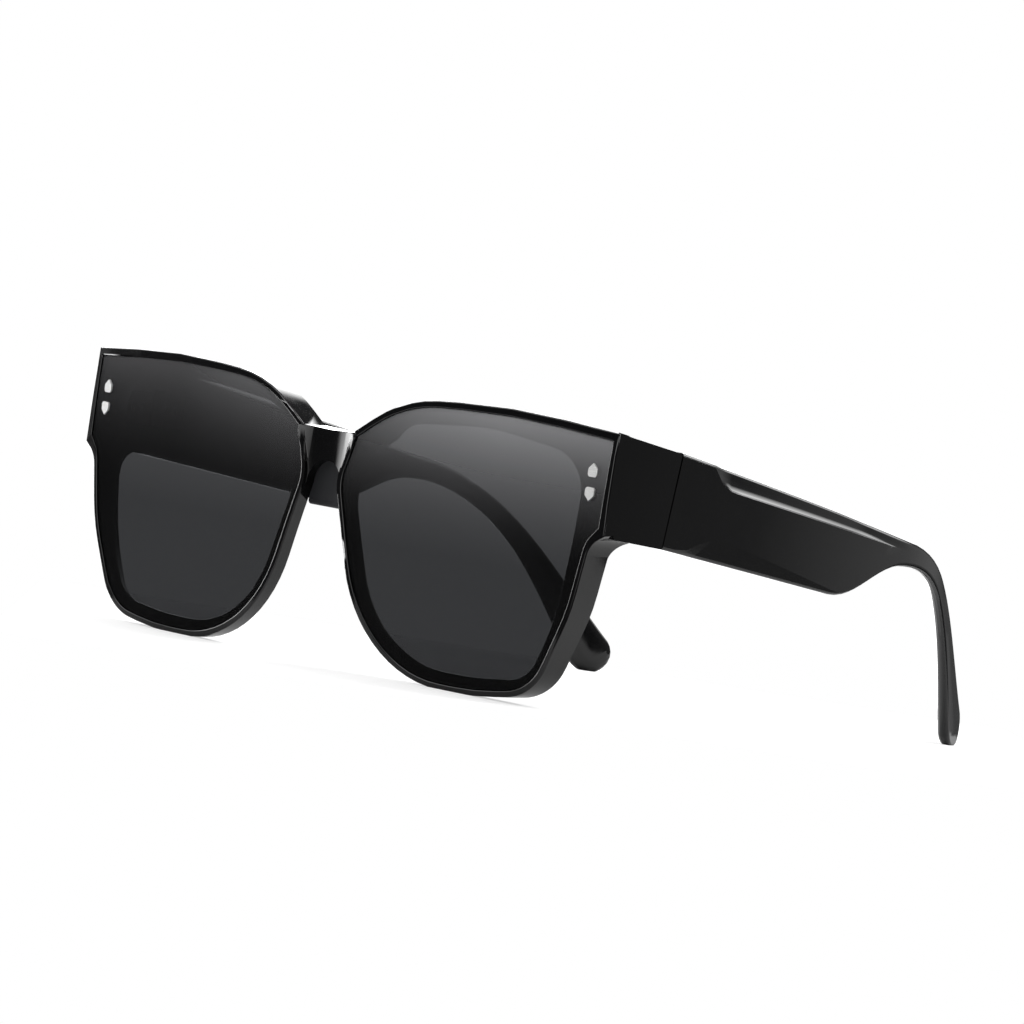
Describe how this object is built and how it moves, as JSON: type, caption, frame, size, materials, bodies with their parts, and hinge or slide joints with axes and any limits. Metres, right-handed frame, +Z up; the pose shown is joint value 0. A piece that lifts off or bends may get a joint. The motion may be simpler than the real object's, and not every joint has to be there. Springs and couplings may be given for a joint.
{
  "type": "sunglasses",
  "caption": "Oversize square sunglasses that fit over other glasses, with a deep dark plastic frame, graduated grey lenses, steel studs, a nose saddle and wide folding temples",
  "frame": {"origin": "middle of the whole object's footprint, on the surface that the open glasses stand on", "axes": "+X towards the wearer's left, +Y back towards the wearer's ears, +Z up"},
  "size_m": [0.153, 0.1509, 0.0571],
  "materials": {
    "frame_black": "black injection moulded plastic, satin to glossy",
    "lens_smoke": "smooth grey tinted plastic lens with a graduated haze towards the brow",
    "stud_steel": "bright steel with a fine grain",
    "hinge_steel": "blackened steel, satin",
    "saddle_grey": "matte dark grey plastic"
  },
  "bodies": {
    "front": {"front_frame": "frame_black", "nose_saddle": "saddle_grey", "lens_left": "lens_smoke", "lens_right": "lens_smoke", "stud_upper_left": "stud_steel", "stud_upper_right": "stud_steel", "stud_lower_left": "stud_steel", "stud_lower_right": "stud_steel", "hinge_front_leaf_left": "hinge_steel", "hinge_front_leaf_right": "hinge_steel", "hinge_screw_left": "hinge_steel", "hinge_screw_right": "hinge_steel", "front_leaf_screws_left": "hinge_steel", "front_leaf_screws_right": "hinge_steel"},
    "temple_arm_left": {"temple_left": "frame_black", "hinge_temple_leaf_left": "hinge_steel", "temple_leaf_screws_left": "hinge_steel"},
    "temple_arm_right": {"temple_right": "frame_black", "hinge_temple_leaf_right": "hinge_steel", "temple_leaf_screws_right": "hinge_steel"}
  },
  "joints": [
    {"name": "temple_fold_left", "type": "hinge", "parent": "front", "child": "temple_arm_left", "pos_m": [0.07135, -0.05471, 0.04414], "axis": [0, 0, 1], "range_deg": [0, 84]},
    {"name": "temple_fold_right", "type": "hinge", "parent": "front", "child": "temple_arm_right", "pos_m": [-0.07135, -0.05471, 0.04414], "axis": [0, 0, -1], "range_deg": [0, 76]}
  ]
}
